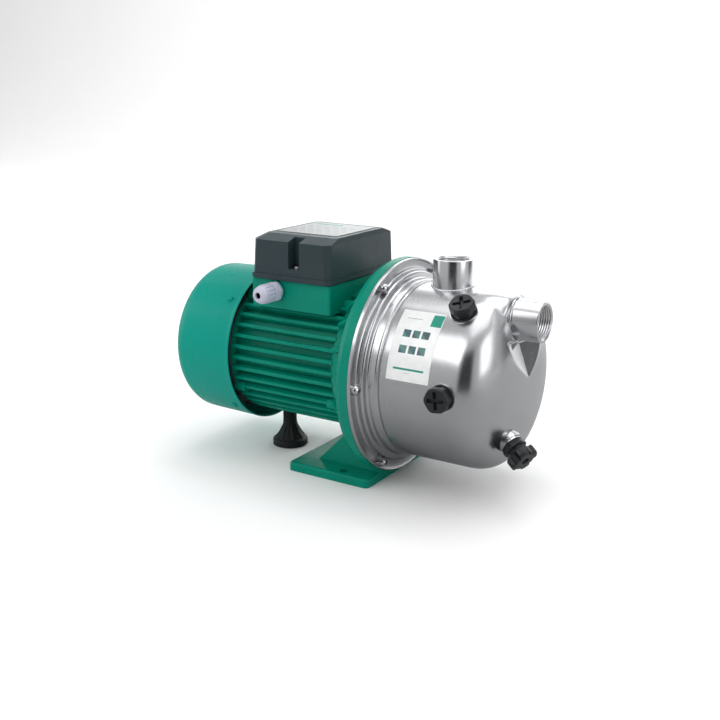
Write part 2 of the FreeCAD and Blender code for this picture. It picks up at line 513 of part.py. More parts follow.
tb = fuse([box(-128, -76, -34, -8, 66, 78)] + [box(-128 + 13 * k, -125.6 + 13 * k, -34, -8, 76, 86) for k in range(4)] + [box(-78.4, -76, -34, -8, 76, 86)])
node("terminal_block", tb)
node("capacitor", fuse([cx(16.5, -134, -62, 28, 82.6), cx(14, -136, -134, 28, 82.6)]))
node("nameplate", rbox(-130, -58, -34, 37, TBOX_Z1, TBOX_Z1 + .5, 1.5))

# ---------------------------------------------------------------- cable gland
GX, GZ = GLAND_X, GLAND_Z
gb = fuse([cy(GLAND_NECK_R, -66, -53, GX, GZ), cy(8.2, -78, -66, GX, GZ)])
hx = [(GX + a_, GZ + b_) for a_, b_ in hexagon(18.6)]
ring = [V(x, -67.0, z) for x, z in hx]
ring.append(ring[0])
gb = gb.fuse(Part.Face(Part.makePolygon(ring)).extrude(V(0, 5.5, 0)))
gb = gb.cut(cy(5.4, -90, -50, GX, GZ))
node("cable_gland_body", gb)
gn = [cy(9.6, -84, -67.8, GX, GZ), Part.makeCone(6.2, 9.6, 6.0, V(GX, -90, GZ), V(0, 1, 0))]
gn = fuse(gn).cut(cy(8.25, -78.2, -60, GX, GZ)).cut(cy(5.8, -88, -70, GX, GZ)).cut(cy(3.0, -100, -80, GX, GZ))
node("cable_gland_nut", gn)
node("cable_gland_seal", cy(5.3, -87.8, -74, GX, GZ).cut(cy(3.0, -100, -70, GX, GZ)))

# ---------------------------------------------------------------- rear foot
foot = revz([(3.1, -112), (19, -112), (19, -107.5), (17.4, -104.4), (12.4, -98), (9, -89), (7.4, -80), (7.4, -71.2), (3.1, -71.2)], -144)
foot = foot.cut(cz(6.2, -113, -100, -144))
node("rear_foot", foot)
node("rear_foot_screw", cz(3.0, -100.2, -61, -144).fuse(cz(5.4, -104.5, -100, -144)))

# ---------------------------------------------------------------- label on the barrel
lab = tx(R_BARREL + .3, R_BARREL, 29, 73)
w = []
for dg in range(8, 55, 2):
    d = out_dir(dg)
    w.append((d.y * 120, d.z * 120))
lab = lab.common(prism_x([(0, 0)] + w, 20, 90))
node("body_label", lab)

# ---------------------------------------------------------------- export
for name, shapes in PARTS.items():
    solids = []
    for s_ in shapes:
        solids += s_.Solids
    group = solids[0] if len(solids) == 1 else Part.makeCompound(solids)
    group = group.copy()
    group.translate(SHIFT)
    group.exportStep("parts/%s.step" % name)
    print(name, len(solids), all(q.isValid() for q in solids), round(sum(q.Volume for q in solids), 1))
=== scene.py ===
import math, json
import bpy, bmesh
from mathutils import Vector, Matrix


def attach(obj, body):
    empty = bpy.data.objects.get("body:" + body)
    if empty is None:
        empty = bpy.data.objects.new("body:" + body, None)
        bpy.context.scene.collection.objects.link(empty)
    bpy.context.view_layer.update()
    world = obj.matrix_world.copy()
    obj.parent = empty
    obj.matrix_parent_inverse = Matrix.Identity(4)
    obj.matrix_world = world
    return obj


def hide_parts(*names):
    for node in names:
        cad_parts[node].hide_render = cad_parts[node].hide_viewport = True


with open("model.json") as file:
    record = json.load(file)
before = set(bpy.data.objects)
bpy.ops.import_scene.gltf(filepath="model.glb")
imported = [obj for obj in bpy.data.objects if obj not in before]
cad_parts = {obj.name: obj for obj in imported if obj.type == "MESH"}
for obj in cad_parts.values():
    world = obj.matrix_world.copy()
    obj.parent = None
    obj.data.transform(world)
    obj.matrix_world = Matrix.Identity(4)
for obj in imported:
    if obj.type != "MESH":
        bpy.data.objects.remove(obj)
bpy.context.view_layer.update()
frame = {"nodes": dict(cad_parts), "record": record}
NODES = frame["nodes"]
ROOT = "pump_frame"
TX, TZ = 0.037, 0.112          # shaft axis at the flange's rear plane, in the row frame
MM = 0.001


def P(x, y, z):
    """Axis frame in millimetres to the row frame in metres."""
    return Vector((x * MM + TX, y * MM, z * MM + TZ))


# ------------------------------------------------------------------ materials
def new_mat(name):
    m = bpy.data.materials.new(name)
    m.use_nodes = True
    nt = m.node_tree
    nt.nodes.clear()
    out = nt.nodes.new("ShaderNodeOutputMaterial")
    b = nt.nodes.new("ShaderNodeBsdfPrincipled")
    nt.links.new(b.outputs[0], out.inputs[0])
    return m, nt, b


def N(nt, kind, **kw):
    n = nt.nodes.new(kind)
    for k, v in kw.items():
        if k in n.inputs:
            n.inputs[k].default_value = v
        else:
            setattr(n, k, v)
    return n


def coords(nt, scale=(1, 1, 1)):
    tc = N(nt, "ShaderNodeTexCoord")
    mp = N(nt, "ShaderNodeMapping")
    mp.inputs["Scale"].default_value = scale
    nt.links.new(tc.outputs["Object"], mp.inputs["Vector"])
    return mp.outputs["Vector"]


def noise(nt, vec, scale, detail=4.0, rough=0.5):
    n = N(nt, "ShaderNodeTexNoise")
    n.inputs["Scale"].default_value = scale
    n.inputs["Detail"].default_value = detail
    n.inputs["Roughness"].default_value = rough
    nt.links.new(vec, n.inputs["Vector"])
    return n.outputs["Fac"]


def ramp(nt, fac, stops):
    r = N(nt, "ShaderNodeValToRGB")
    el = r.color_ramp.elements
    while len(el) > 1:
        el.remove(el[-1])
    el[0].position, el[0].color = stops[0][0], tuple(stops[0][1]) + (1,) if len(stops[0][1]) == 3 else stops[0][1]
    for p, c in stops[1:]:
        e = el.new(p)
        e.color = tuple(c) + (1,) if len(c) == 3 else c
    nt.links.new(fac, r.inputs["Fac"])
    return r.outputs["Color"]


def maprange(nt, fac, lo, hi, a=0.3, b=0.7):
    m = N(nt, "ShaderNodeMapRange")
    m.inputs["From Min"].default_value = a
    m.inputs["From Max"].default_value = b
    m.inputs["To Min"].default_value = lo
    m.inputs["To Max"].default_value = hi
    nt.links.new(fac, m.inputs["Value"])
    return m.outputs["Result"]


def bump(nt, b, height, strength, dist):
    n = N(nt, "ShaderNodeBump")
    n.inputs["Strength"].default_value = strength
    n.inputs["Distance"].default_value = dist
    nt.links.new(height, n.inputs["Height"])
    nt.links.new(n.outputs["Normal"], b.inputs["Normal"])
    return n


def mix(nt, fac, c1, c2):
    m = N(nt, "ShaderNodeMix", data_type="RGBA")
    if isinstance(fac, (int, float)):
        m.inputs[0].default_value = fac
    else:
        nt.links.new(fac, m.inputs[0])
    for i, c in ((6, c1), (7, c2)):
        if isinstance(c, tuple):
            m.inputs[i].default_value = tuple(c) + (1,) if len(c) == 3 else c
        else:
            nt.links.new(c, m.inputs[i])
    return m.outputs[2]


def paint(name, base, dark, rough=0.24, coat=0.35, peel=0.00018):
    """Sprayed enamel on a casting: colour drift and orange peel."""
    m, nt, b = new_mat(name)
    v = coords(nt)
    big = noise(nt, v, 14, 3)
    col = mix(nt, maprange(nt, big, 0.0, 1.0), tuple(base), tuple(dark))
    nt.links.new(col, b.inputs["Base Color"])
    r = maprange(nt, noise(nt, v, 60, 4), rough - 0.05, rough + 0.08)
    nt.links.new(r, b.inputs["Roughness"])
    b.inputs["Coat Weight"].default_value = coat
    b.inputs["Coat Roughness"].default_value = 0.15
    b.inputs["Specular IOR Level"].default_value = 0.12
    bump(nt, b, noise(nt, v, 520, 2, 0.4), 0.12, peel * 0.4)
    return m


def steel(name, base=(0.80, 0.80, 0.81), rough=0.16, brush=(1, 1, 1), bscale=900, bstr=0.05, var=0.05):
    """Polished sheet with faint directional polishing marks and slight smears."""
    m, nt, b = new_mat(name)
    b.inputs["Metallic"].default_value = 1.0
    v = coords(nt)
    vb = coords(nt, brush)
    smear = noise(nt, v, 22, 4, 0.6)
    col = mix(nt, maprange(nt, smear, 0, 1), tuple(base), tuple(c * 0.93 for c in base))
    nt.links.new(col, b.inputs["Base Color"])
    lines = noise(nt, vb, bscale, 3, 0.6)
    rr = N(nt, "ShaderNodeMath", operation="ADD")
    nt.links.new(maprange(nt, smear, rough - var, rough + var), rr.inputs[0])
    nt.links.new(maprange(nt, lines, -0.02, 0.035), rr.inputs[1])
    nt.links.new(rr.outputs[0], b.inputs["Roughness"])
    bump(nt, b, lines, bstr, 0.00002)
    return m


def plastic(name, base, rough=0.45, grain=1400, gstr=0.25, gd=0.00006, spread=0.12, spec=0.5):
    m, nt, b = new_mat(name)
    v = coords(nt)
    big = noise(nt, v, 25, 3)
    col = mix(nt, maprange(nt, big, 0, 1), tuple(base), tuple(c * (1 - spread) for c in base))
    nt.links.new(col, b.inputs["Base Color"])
    nt.links.new(maprange(nt, noise(nt, v, 90, 3), rough - 0.06, rough + 0.08), b.inputs["Roughness"])
    b.inputs["Specular IOR Level"].default_value = spec
    bump(nt, b, noise(nt, v, grain, 2), gstr, gd)
    return m


M = {}
M["painted_green"] = paint("painted_green", (0.000, 0.235, 0.160), (0.000, 0.200, 0.136), rough=0.30, coat=0.05)
M["painted_teal"] = paint("painted_teal", (0.000, 0.285, 0.222), (0.000, 0.262, 0.205), rough=0.30, coat=0.06)
M["plate_green"] = paint("plate_green", (0.010, 0.260, 0.190), (0.010, 0.200, 0.150), rough=0.33, coat=0.2)
M["stainless"] = steel("stainless", (0.55, 0.56, 0.575), rough=0.23, brush=(1.0, 0.05, 0.05), bscale=900, bstr=0.014, var=0.02)
M["stainless_port"] = steel("stainless_port", (0.63, 0.635, 0.65), rough=0.22, brush=(0.05, 0.05, 1), bscale=900, bstr=0.008, var=0.02)
M["zinc_screw"] = steel("zinc_screw", (0.60, 0.60, 0.62), rough=0.16)
M["steel"] = steel("steel", (0.62, 0.62, 0.63), rough=0.25)
M["lamination"] = steel("lamination", (0.22, 0.22, 0.24), rough=0.42, brush=(1, 0.02, 0.02), bscale=2500, bstr=0.5)
M["copper"] = steel("copper", (0.70, 0.33, 0.16), rough=0.3, brush=(0.1, 1, 1), bscale=900, bstr=0.6)
# near-black colour is painted shade: it stands in for the dark gap between the fan cover and the motor housing where
# the rear end shield shows, not the pale grey of bare cast aluminium
M["cast_aluminium"] = plastic("cast_aluminium", (0.035, 0.045, 0.045), rough=0.5, grain=500, gstr=0.4)
M["cover_slate"] = plastic("cover_slate", (0.025, 0.043, 0.050), rough=0.34, grain=1800, gstr=0.12, spec=0.35)
M["charcoal_plastic"] = plastic("charcoal_plastic", (0.013, 0.015, 0.017), rough=0.36, spec=0.4)
M["black_rubber"] = plastic("black_rubber", (0.011, 0.012, 0.014), rough=0.55, grain=700, spec=0.35)
M["lavender_plastic"] = plastic("lavender_plastic", (0.53, 0.53, 0.66), rough=0.33, gstr=0.1)
M["brass_part"] = steel("brass_part", (0.70, 0.53, 0.25), rough=0.28)
M["engineering_plastic"] = plastic("engineering_plastic", (0.62, 0.61, 0.56), rough=0.45)
M["ceramic_part"] = plastic("ceramic_part", (0.82, 0.80, 0.74), rough=0.2, gstr=0.05)
M["carbon"] = plastic("carbon", (0.03, 0.03, 0.032), rough=0.3)
M["capacitor_can"] = plastic("capacitor_can", (0.72, 0.72, 0.70), rough=0.4)
M["plate_foil"] = steel("plate_foil", (0.42, 0.44, 0.44), rough=0.42, brush=(0.04, 1, 1), bscale=1500, bstr=0.1)
M["thread_dark"] = steel("thread_dark", (0.55, 0.55, 0.56), rough=0.3)

slot_of = {s["node"]: s["material_slot"] for s in frame["record"]["subparts"]}
for name, o in NODES.items():
    mat = M.get(slot_of.get(name), M["steel"])
    if name in ("suction_port", "discharge_port", "plug_bosses", "drain_boss"):
        mat = M["stainless_port"]
    if name == "tie_bolts":
        mat = M["painted_green"]
    if name == "fan_cover_screws":
        mat = M["painted_teal"]
    if len(o.material_slots) == 0:
        o.data.materials.append(mat)
    for s in o.material_slots:
        s.material = mat


# ------------------------------------------------------------------ mesh helpers
def mesh_obj(name, verts, faces, mat, body=ROOT, smooth=True):
    me = bpy.data.meshes.new(name)
    me.from_pydata([tuple(v) for v in verts], [], faces)
    me.validate()
    bm = bmesh.new()
    bm.from_mesh(me)
    bmesh.ops.remove_doubles(bm, verts=bm.verts, dist=1e-7)
    bmesh.ops.recalc_face_normals(bm, faces=bm.faces)
    bm.to_mesh(me)
    bm.free()
    if smooth:
        for p in me.polygons:
            p.use_smooth = True
    ob = bpy.data.objects.new(name, me)
    bpy.context.scene.collection.objects.link(ob)
    if mat:
        me.materials.append(mat)
    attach(ob, body)
    return ob


def sharp(ob, deg=35):
    """Split normals at edges sharper than deg."""
    me = ob.data
    bm = bmesh.new()
    bm.from_mesh(me)
    lim = math.radians(deg)
    for e in bm.edges:
        if len(e.link_faces) == 2:
            e.smooth = e.calc_face_angle(0) < lim
        else:
            e.smooth = True
    bm.to_mesh(me)
    bm.free()
    return ob


def lathe(name, profile, mat, centre=(0, 0, 0), axis=(1, 0, 0), seg=128, body=ROOT, deg=30, closed=True):
    """Closed profile of (along, radius) in mm turned about axis through centre (axis frame, mm)."""
    ax = Vector(axis).normalized()
    up = Vector((0, 0, 1)) if abs(ax.z) < 0.9 else Vector((0, 1, 0))
    u = ax.cross(up).normalized()
    w = ax.cross(u).normalized()
    c = Vector(centre)
    verts, faces = [], []
    n = len(profile)
    for i in range(seg):
        a = 2 * math.pi * i / seg
        d = u * math.cos(a) + w * math.sin(a)
        for s, r in profile:
            q = c + ax * s + d * r
            verts.append(P(q.x, q.y, q.z))
    rng = n if closed else n - 1
    for i in range(seg):
        j = (i + 1) % seg
        for k in range(rng):
            l = (k + 1) % n
            a, b_, c_, d_ = i * n + k, i * n + l, j * n + l, j * n + k
            if profile[k][1] < 1e-6 and profile[l][1] < 1e-6:
                continue
            if profile[k][1] < 1e-6:
                faces.append((a, b_, c_))
            elif profile[l][1] < 1e-6:
                faces.append((a, b_, d_))
            else:
                faces.append((a, b_, c_, d_))
    ob = mesh_obj(name, verts, faces, mat, body)
    return sharp(ob, deg)


def arc(cx, cy, r, a0, a1, n=6):
    return [(cx + r * math.cos(math.radians(a0 + (a1 - a0) * i / n)), cy + r * math.sin(math.radians(a0 + (a1 - a0) * i / n))) for i in range(n + 1)]


# ------------------------------------------------------------------ camera and light
AZ, EL = math.radians(32.42), math.radians(15.81)
back = Vector((math.sin(AZ) * math.cos(EL), -math.cos(AZ) * math.cos(EL), math.sin(EL)))
cam = bpy.data.cameras.new("cam")
cam.lens = 51.02
cam.sensor_width = 36.0
cam_o = bpy.data.objects.new("cam", cam)
bpy.context.scene.collection.objects.link(cam_o)
cam_o.location = (0.5252, -0.85254, 0.39438)
cam_o.rotation_mode = "QUATERNION"
cam_o.rotation_quaternion = (-back).to_track_quat("-Z", "Y")
bpy.context.scene.camera = cam_o


def area(name, loc, target, size, size_y, power, color=(1, 1, 1)):
    l = bpy.data.lights.new(name, "AREA")
    l.shape = "RECTANGLE"
    l.size, l.size_y, l.energy, l.color = size, size_y, power, color
    o = bpy.data.objects.new(name, l)
    bpy.context.scene.collection.objects.link(o)
    o.location = loc
    o.rotation_mode = "QUATERNION"
    o.rotation_quaternion = (Vector(target) - Vector(loc)).to_track_quat("-Z", "Y")
    return o


ctr = (0.02, 0, 0.12)
area("key", (-0.35, -1.15, 1.25), ctr, 0.9, 0.9, 5.5)
area("top", (0.15, 0.15, 1.6), ctr, 1.6, 1.2, 8)
area("right", (1.5, -0.15, 0.75), ctr, 0.7, 1.0, 4)
area("left", (-1.3, -0.5, 0.6), ctr, 0.7, 0.9, 3)
area("rim", (-0.3, 1.3, 0.9), ctr, 1.2, 0.7, 4)
for k, x in enumerate((-2.2, 0.0, 2.2)):
    area("backdrop%d" % k, (x, 0.9, 2.6), (x * 1.2, 3.6, 1.0), 1.6, 1.0, 34)


def card(name, pts, value):
    """Studio flag: seen only in reflections, a painted reflection of shade."""
    m, nt, s = new_mat(name)
    nt.links.new(mix(nt, maprange(nt, noise(nt, coords(nt), 2, 2), 0, 1), (value,) * 3, (value * .9,) * 3), s.inputs["Base Color"])
    s.inputs["Roughness"].default_value = 0.9
    me = bpy.data.meshes.new(name)
    me.from_pydata(pts, [], [(0, 1, 2, 3)])
    me.materials.append(m)
    o = bpy.data.objects.new(name, me)
    bpy.context.scene.collection.objects.link(o)
    o.visible_camera = False
    o.visible_shadow = False
    o.visible_diffuse = False
    return o


def upright(name, az0, az1, dist, z0, z1, value):
    a, c = math.radians(az0), math.radians(az1)
    q0, q1 = (math.sin(a) * dist, -math.cos(a) * dist), (math.sin(c) * dist, -math.cos(c) * dist)
    return card(name, [(*q0, z0), (*q1, z0), (*q1, z1), (*q0, z1)], value)


# painted reflections of shade: a near-black surround for the casing's shoulder and a grey sheet for the shaded floor
# under the pump
upright("flag_front", 3, 48, 2.3, 0.0, 2.2, 0.01)
upright("flag_side", 118, 150, 2.6, 0.0, 1.4, 0.10)
card("flag_low", [(-1.6, -1.9, 0.0005), (1.6, -1.9, 0.0005), (1.6, 0.9, 0.0005), (-1.6, 0.9, 0.0005)], 0.42)

world = bpy.data.worlds.new("world")
bpy.context.scene.world = world
world.use_nodes = True
wn = world.node_tree
wn.nodes.clear()
wo = wn.nodes.new("ShaderNodeOutputWorld")
bg = wn.nodes.new("ShaderNodeBackground")
tc = wn.nodes.new("ShaderNodeTexCoord")
sp = wn.nodes.new("ShaderNodeSeparateXYZ")
wn.links.new(tc.outputs["Generated"], sp.inputs[0])
mr = wn.nodes.new("ShaderNodeMapRange")
mr.inputs["From Min"].default_value = -0.2
mr.inputs["From Max"].default_value = 0.7
wn.links.new(sp.outputs["Z"], mr.inputs["Value"])
wr = wn.nodes.new("ShaderNodeValToRGB")
wr.color_ramp.elements[0].color = (0.92, 0.925, 0.93, 1)
wr.color_ramp.elements[1].color = (1.0, 1.0, 1.0, 1)
wn.links.new(mr.outputs[0], wr.inputs["Fac"])
wn.links.new(wr.outputs["Color"], bg.inputs["Color"])
bg.inputs["Strength"].default_value = 0.62
wn.links.new(bg.outputs[0], wo.inputs[0])

fm, fnt, fb = new_mat("floor")
fv = coords(fnt)
fnt.links.new(mix(fnt, maprange(fnt, noise(fnt, fv, 3, 2), 0, 1), (0.95, 0.95, 0.95), (0.94, 0.94, 0.945)), fb.inputs["Base Color"])
fb.inputs["Roughness"].default_value = 0.7
fme = bpy.data.meshes.new("floor")
cove = [(-6.0, 0.0), (2.2, 0.0)] + [(2.2 + 1.6 * math.sin(t * math.pi / 24), 1.6 - 1.6 * math.cos(t * math.pi / 24)) for t in range(1, 13)] + [(3.8, 5.0)]
fme.from_pydata([(x, y, z - 0.0003) for y, z in cove for x in (-7, 7)], [], [(2 * k, 2 * k + 1, 2 * k + 3, 2 * k + 2) for k in range(len(cove) - 1)])
for q in fme.polygons:
    q.use_smooth = True
fo = bpy.data.objects.new("floor", fme)
bpy.context.scene.collection.objects.link(fo)
fme.materials.append(fm)
bpy.context.scene.view_settings.view_transform = "Standard"

# ------------------------------------------------------------------ pressed casing
import numpy as np


def smin(a, b, k):
    h = np.clip(0.5 + 0.5 * (b - a) / k, 0, 1)
    return b * (1 - h) + a * h - k * h * (1 - h)


def smax(a, b, k):
    return -smin(-a, -b, k)


DX, DA, DR, DE = 89.34, 44.02, 86.4, 2.67


def casing_field(x, y, z):
    R = np.sqrt(y * y + z * z)
    g = ((np.maximum(x - DX, 0) / DA) ** DE + (R / DR) ** DE) ** (1 / DE) - 1
    g = g * 62.0
    dy, dz = np.abs(y), z - 60.0
    rl = (dy ** 3.2 + np.abs(dz) ** 3.2) ** (1 / 3.2) - 24.6
    land = smax(rl, x - 119.6, 7.0)
    land = np.maximum(land, 88.0 - x)
    f = smin(g, land, 6.0)
    win = np.maximum(dy - 25.5, 40.0 - z)
    rem = np.maximum(119.6 - x, win)
    f = smax(f, -rem, 1.6)
    zz = np.clip(z, -20, 47)
    xc = 119.3 + (132.9 - 119.3) * (45.0 - zz) / (45.0 - 8.0)
    val = -(x - xc - 0.22 * dy) * 0.9
    val = np.maximum(val, z - 47.0)
    f = smax(f, -val, 1.2)
    return f


def casing():
    seg = 264
    # outer profile near the flange: folded lip, flat, two steps and the bead
    prof = [(0.0, 107.0), (3.0, 107.0)] + [(3.0 + .6 * math.sin(a), 106.4 + .6 * math.cos(a)) for a in (0.5, 1.0, 1.5)]
    prof += [(3.6, 105.6), (3.2, 105.0), (2.3, 104.7), (2.0, 104.2), (2.0, 98.4)]
    prof += [(2.0 + 2.4 * (1 - math.cos(a)), 97.4 - 2.4 * math.sin(a)) for a in (0.0, .4, .8, 1.2, 1.57)]
    prof += [(7.2, 95.0)] + [(7.2 + 2.2 * math.sin(a), 92.8 + 2.2 * math.cos(a)) for a in (.4, .8, 1.2, 1.57)]
    prof += [(9.5, 90.2)] + [(11.5 - 2.0 * math.cos(a), 90.0 - 2.0 * math.sin(a)) for a in (.2, .6, 1.0, 1.57)]
    prof += [(12.2, 87.95), (17.6, 87.85), (18.5, 87.5), (19.0, 86.6), (19.5, 85.7), (20.1, 85.45), (20.7, 85.75), (21.3, 86.2), (22.2, 86.38), (24.0, DR)]
    inn = [(0.0, 93.2), (5.5, 93.0), (7.0, 92.0), (7.5, 90.0), (8.0, 88.0), (10.0, 86.3), (12.0, 85.9), (17.0, 85.8), (19.0, 84.0), (24.0, DR - 2.0)]
    th = np.arange(seg) * 2 * math.pi / seg
    O = np.array([45.0, 0, 0])
    phi0 = math.atan2(DR, -20.0)
    phis = np.linspace(phi0, 0.0, 185)[1:]
    rings = []
    for x, r in prof:
        rings.append(np.stack([np.full(seg, x), -r * np.cos(th), r * np.sin(th)], 1))
    for ph in phis[:-1]:
        d = np.stack([np.full(seg, math.cos(ph)), -math.sin(ph) * np.cos(th), math.sin(ph) * np.sin(th)], 1)
        lo, hi = np.full(seg, 30.0), np.full(seg, 130.0)
        for _ in range(34):
            mid = (lo + hi) / 2
            p = O + d * mid[:, None]
            inside = casing_field(p[:, 0], p[:, 1], p[:, 2]) < 0
            lo = np.where(inside, mid, lo)
            hi = np.where(inside, hi, mid)
        rings.append(O + d * lo[:, None])
    n_out = len(rings)
    grid = np.array(rings)
    first = len(prof) - 1
    e = 0.4
    def grad(p):
        x, y, z = p[..., 0], p[..., 1], p[..., 2]
        g = np.stack([casing_field(x + e, y, z) - casing_field(x - e, y, z), casing_field(x, y + e, z) - casing_field(x, y - e, z),
                      casing_field(x, y, z + e) - casing_field(x, y, z - e)], -1)
        return g / np.maximum(np.linalg.norm(g, axis=-1, keepdims=True), 1e-9)
    inner = grid[first:] - 2.0 * grad(grid[first:])
    inner_rings = [np.stack([np.full(seg, x), -r * np.cos(th), r * np.sin(th)], 1) for x, r in inn]
    inner_grid = np.concatenate([np.array(inner_rings[:-1]), inner])
    verts = np.concatenate([grid.reshape(-1, 3), inner_grid.reshape(-1, 3), [[DX + DA, 0, 0], [DX + DA - 2.0, 0, 0]]])
    no, ni = n_out, len(inner_grid)
    base_i = no * seg
    pole_o, pole_i = len(verts) - 2, len(verts) - 1
    holes = []
    for b, a, r in ((Vector((51.5, 0, 0)), Vector((0, 0, 1)), 17.2), (Vector((0, 0, 62.2)), Vector((1, 0, 0)), 17.2),
                    (Vector((87, 0, 0)), out_dir(58), 11.2), (Vector((87, 0, 0)), out_dir(2), 11.2),
                    (Vector((127.6, -26.4, -48.4)), Vector((.80, -.30, -.52)).normalized(), 11.0)):
        holes.append((np.array(b), np.array(a), r))
    def open_face(c):
        for b, a, r in holes:
            q = c - b
            t = float(q @ a)
            if t > -12 and (abs(a[0]) < .9 or c[0] > 95):
                if np.linalg.norm(q - t * a) < r and (t > 20 or abs(a[0]) > .5):
                    return True
        return False
    fo_, fi_ = [], []
    keep = {}
    def near(c):
        for b, a, r in holes:
            q = c - b
            t = q @ a
            if np.linalg.norm(q - t * a) < r + 6:
                return True
        return False
    for k in range(no - 1):
        for i in range(seg):
            j = (i + 1) % seg
            ids = (k * seg + i, k * seg + j, (k + 1) * seg + j, (k + 1) * seg + i)
            c = verts[list(ids)].mean(0)
            if k >= first and near(c) and open_face(c):
                keep[(k, i)] = True
                continue
            fo_.append(ids)
    for k in range(ni - 1):
        ko = k - (len(inn) - 1) + first
        for i in range(seg):
            if k >= len(inn) - 1 and (ko, i) in keep:
                continue
            j = (i + 1) % seg
            fi_.append((base_i + k * seg + i, base_i + (k + 1) * seg + i, base_i + (k + 1) * seg + j, base_i + k * seg + j))
    faces = fo_ + fi_
    for i in range(seg):
        j = (i + 1) % seg
        faces.append(((no - 1) * seg + i, (no - 1) * seg + j, pole_o))
        faces.append((base_i + (ni - 1) * seg + j, base_i + (ni - 1) * seg + i, pole_i))
        faces.append((j, i, base_i + i, base_i + j))
    # walls of the holes: join each open outer edge to its partner on the inside
    def partner(v):
        k, i = divmod(v, seg)
        return base_i + (k - first + len(inn) - 1) * seg + i
    for (k, i) in keep:
        j = (i + 1) % seg
        for a, b, other in (((k, i), (k, j), (k - 1, i)), ((k + 1, j), (k + 1, i), (k + 1, i)), ((k, j), (k + 1, j), (k, j)), ((k + 1, i), (k, i), (k, (i - 1) % seg))):
            if other in keep:
                continue
            va, vb = a[0] * seg + a[1], b[0] * seg + b[1]
            faces.append((va, vb, partner(vb), partner(va)))
    ob = mesh_obj("casing_shell", [P(*v) for v in verts], faces, M["stainless"])
    sharp(ob, 50)
    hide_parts("pump_casing")
    return ob


def out_dir(deg):
    a = math.radians(deg)
    return Vector((0, -math.cos(a), math.sin(a)))


casing()


# ------------------------------------------------------------------ threaded sockets
def socket(name, centre, axis, s0, s1, r_out, r_bore, pitch, depth, thread_len, node, mat, foot=None, seg=144):
    """Tube along axis from s0 to s1, female thread cut from its mouth at s1."""
    ax = Vector(axis)
    up = Vector((0, 0, 1)) if abs(ax.z) < .9 else Vector((0, 1, 0))
    u = ax.cross(up).normalized()
    w = ax.cross(u).normalized()
    c = Vector(centre)
    prof = [(s0, r_out if foot is None else foot[0])]
    if foot:
        prof += foot[1]
    prof += [(s1 - 1.0, r_out), (s1 - .3, r_out - .25), (s1, r_out - .9)]
    prof += [(s1, r_bore + depth + 1.0), (s1 - .5, r_bore + depth + .35)]
    n_plain = len(prof)
    steps = int(thread_len / pitch * 10)
    th = [(s1 - .9 - thread_len * i / steps, None) for i in range(steps + 1)]
    prof += th
    prof += [(s1 - thread_len - 1.6, r_bore), (s0, r_bore)]
    n = len(prof)
    verts, faces = [], []
    for i in range(seg):
        a = 2 * math.pi * i / seg
        d = u * math.cos(a) + w * math.sin(a)
        for s, r in prof:
            if r is None:
                ph = ((s - s1) / pitch - i / seg) % 1.0
                tri = 1 - abs(2 * ph - 1)
                tri = min(1.0, max(0.0, tri * 1.35 - .17))
                fade = min(1.0, max(0.0, (s - (s1 - thread_len - .9)) / 3.0))
                r = r_bore + depth * tri * fade
            q = c + ax * s + d * r
            verts.append(P(*q))
    for i in range(seg):
        j = (i + 1) % seg
        for k in range(n):
            l = (k + 1) % n
            faces.append((i * n + k, i * n + l, j * n + l, j * n + k))
    ob = mesh_obj(name, verts, faces, mat)
    sharp(ob, 32)
    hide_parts(node)
    return ob


socket("suction_socket", (0, 0, 62.2), (1, 0, 0), 117.4, 146.6, 19.3, 15.15, 2.309, 0.85, 21, "suction_port", M["stainless_port"],
       foot=(19.6, [(119.6, 21.2), (120.2, 20.9), (120.9, 19.7), (122.0, 19.32)]))
# short inner spigot of the suction socket
lathe("suction_spigot", [(104.2, 15.15), (104, 15.4), (104, 16.4), (104.2, 16.65), (118, 16.65), (118, 15.15)], M["stainless_port"], centre=(0, 0, 62.2))
socket("discharge_socket", (51.5, 0, 0), (0, 0, 1), 82.0, 112.3, 19.2, 15.15, 2.309, 0.85, 20, "discharge_port", M["stainless_port"])


def weld_bead(name, centre, ax, r, R_cyl, width=1.5, seg=240):
    """Fillet bead where a round socket meets the barrel (a cylinder about X)."""
    c = Vector(centre)
    a = Vector(ax).normalized()
    u = Vector((1, 0, 0))
    w = a.cross(u).normalized()
    verts, faces = [], []
    m = 8
    for i in range(seg):
        t = 2 * math.pi * i / seg
        rip = 1 + .10 * math.sin(t * 46)
        for k in range(m):
            b = 2 * math.pi * k / m
            rr = r + .2 + width * rip * max(0, math.cos(b)) - .4 * max(0, -math.cos(b))
            side = rr * math.sin(t)
            h = math.sqrt(max(0, R_cyl ** 2 - side ** 2))
            hh = h + width * rip * .9 * math.sin(b)
            q = c + u * rr * math.cos(t) + w * side + a * (hh)
            verts.append(P(*q))
    for i in range(seg):
        j = (i + 1) % seg
        for k in range(m):
            l = (k + 1) % m
            faces.append((i * m + k, i * m + l, j * m + l, j * m + k))
    return mesh_obj(name, verts, faces, M["stainless_port"])


weld_bead("discharge_weld", (51.5, 0, 0), (0, 0, 1), 19.2, DR)

